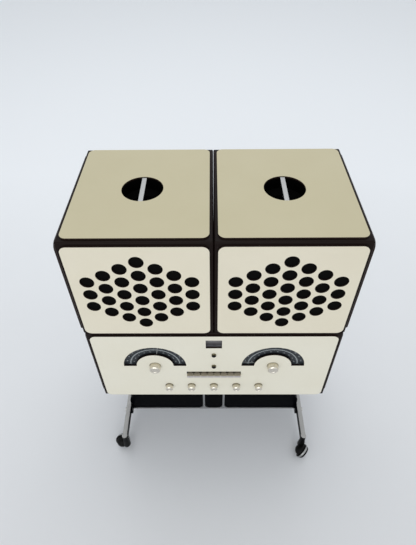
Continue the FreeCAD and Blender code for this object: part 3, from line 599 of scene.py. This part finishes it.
# Painted shade: the key flanks are a darker tan than the noses.
key_flank_painted_shade = mottled(
    "key_flank_painted_shade", (180.0, 4.0), paint(150, 141, 122), paint(176, 166, 146), (0.35, 0.55), gloss=0.3
)
for index in range(1, 9):
    dress(f"push_key_{index}", key_alloy, key_flank_painted_shade, pick=front_faces, edge=moulded_edge)


# Chassis and amplifier: a folded tray of plated steel, its front wall painted olive, with the mains
# transformer and the circuit board screwed to it. A slotted hardboard cover closes the rear.
folded_edge = 0.0003
chassis_olive = mottled(
    "chassis_olive", (150.0, 4.0), paint(168, 154, 116), paint(190, 176, 138), (0.6, 0.8), gloss=0.05
)
chassis_plate = brushed_metal("chassis_plate", paint(176, 172, 160), 0.4, "x")
dress("chassis", chassis_olive, chassis_plate, pick=front_faces, edge=folded_edge)
lamination_edge = 0.0006
amplifier_parts = mottled(
    "amplifier_parts", (55.0, 3.0), paint(74, 62, 48), paint(120, 106, 84), (0.4, 0.6),
    pits=(900.0, 0.0001),
)
dress("amplifier", amplifier_parts, edge=lamination_edge)

board_edge = 0.0005
cover_board = mottled(
    "cover_board", (700.0, 5.0), paint(52, 38, 30), paint(92, 70, 54), (0.6, 0.8),
    stretch=(1.0, 1.0, 0.4), depth=0.0003,
)
dress("back_cover", cover_board, edge=board_edge)


# Record deck: a pressed plate in hammered grey paint, an alloy platter with a ribbed rubber mat, and
# a pick-up arm of satin alloy tube with a counterweight. The plate lies on a ledge in the carcass.
pressed_edge = 0.0006
deck_paint, shader, place = finish("deck_paint", metallic=0.35)
hammer = place.node("TexVoronoi", {"feature": "SMOOTH_F1"}, {"Vector": place, "Scale": 330.0})
mix(hammer, paint(150, 150, 150), paint(112, 113, 116)).into(shader, "Base Color")
(hammer * 0.3 + 0.28).into(shader, "Roughness")
relief(hammer, shader, 0.0004)
dress("deck_plate", deck_paint, edge=pressed_edge)

platter_alloy = turned_metal("platter_alloy", paint(196, 196, 194), middle_of("platter"), "z")
rib_waves = 2094.0  # radians for each metre out from the spindle
mat_rubber, shader, place = finish("mat_rubber")
out = distance_from_axis(place, middle_of("platter"), "z")
ribs = out.sum("SINE", out * rib_waves, 0.0) * 0.5 + 0.5
dusty_ribs = ribs * 0.7 + clouds(place, 90.0, 4.0) * 0.3
mix(dusty_ribs, paint(18, 18, 18), paint(46, 45, 44)).into(shader, "Base Color")
(ribs * 0.1 + 0.66).into(shader, "Roughness")
relief(ribs, shader, 0.0006)
below_spindle_tip = 0.001
mat_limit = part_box("platter")[1].z - below_spindle_tip


def on_mat(face):
    """Picks finish 1 for the platter's flat upper faces, apart from the tip of the spindle."""
    return 1 if face.normal.z > 0.9 and face.center.z < mat_limit else 0


dress("platter", platter_alloy, mat_rubber, pick=on_mat, edge=pressed_edge)
machined_edge = 0.0005
arm_alloy = brushed_metal("arm_alloy", paint(206, 206, 205), 0.28, "y")
dress("tonearm", arm_alloy, edge=machined_edge)


# Loudspeakers: two wooden boxes that stand loose on the receiver, with laminate sheets on every face
# but the foot and the inner side. The front sheet is drilled with thirty holes over black cloth. The
# tops are yellowed, and also painted darker than the other sheets as painted shade.
# Painted shade and age: the top sheets are darker and yellower than the front and side sheets.
yellowed_and_shaded_top_laminate = laminate("yellowed_and_shaded_top_laminate", paint(200, 192, 161), paint(190, 181, 147))
cream_laminate = laminate("cream_laminate", paint(226, 220, 202), paint(217, 209, 186))
thread_scale = 280.0
grille_cloth, shader, place = finish("grille_cloth", gloss=0.05)
warp = place.node("TexWave", {"bands_direction": "X"}, {"Vector": place, "Scale": thread_scale})
weft = place.node("TexWave", {"bands_direction": "Z"}, {"Vector": place, "Scale": thread_scale})
weave = warp * 0.5 + weft * 0.5
mix(weave, paint(4, 4, 4), paint(17, 16, 15)).into(shader, "Base Color")
(weave * 0.1 + 0.82).into(shader, "Roughness")
relief(weave, shader, 0.0004)
driver_black = mottled(
    "driver_black", (420.0, 4.0), paint(22, 22, 22), paint(44, 42, 40), (0.5, 0.75), depth=0.0002
)
outer_faces = faces_towards(left, right, back)
for side in sides:
    speaker = f"speaker_{side}_"
    dress(speaker + "carcass", carcass_lacquer, edge=sanded_edge)
    dress(speaker + "front_panel", cream_laminate, laminate_core, pick=front_faces, edge=sawn_edge)
    dress(speaker + "grille_cloth", grille_cloth)
    dress(speaker + "drivers", driver_black)
    dress(speaker + "top_sheet", yellowed_and_shaded_top_laminate, laminate_core, pick=faces_towards(up), edge=sawn_edge)
    dress(speaker + "cover_sheets", cream_laminate, laminate_core, pick=outer_faces, edge=sawn_edge)


# Carrying handles: a black moulded cup let into each top, with a flat bar of brushed light alloy
# across it, flush with the sheet.
cup_edge = 0.0004
cup_moulding = mottled(
    "cup_moulding", (50.0, 4.0), paint(3, 3, 3), paint(9, 8, 8), (0.2, 0.45),
    gloss=0.03, pits=(1200.0, 0.00005),
)
handle_alloy = brushed_metal("handle_alloy", paint(196, 196, 194), 0.3, "y")
for side in sides:
    dress(f"speaker_{side}_handle_cup", cup_moulding, edge=cup_edge)
    dress(f"speaker_{side}_handle_bar", handle_alloy, edge=machined_edge)
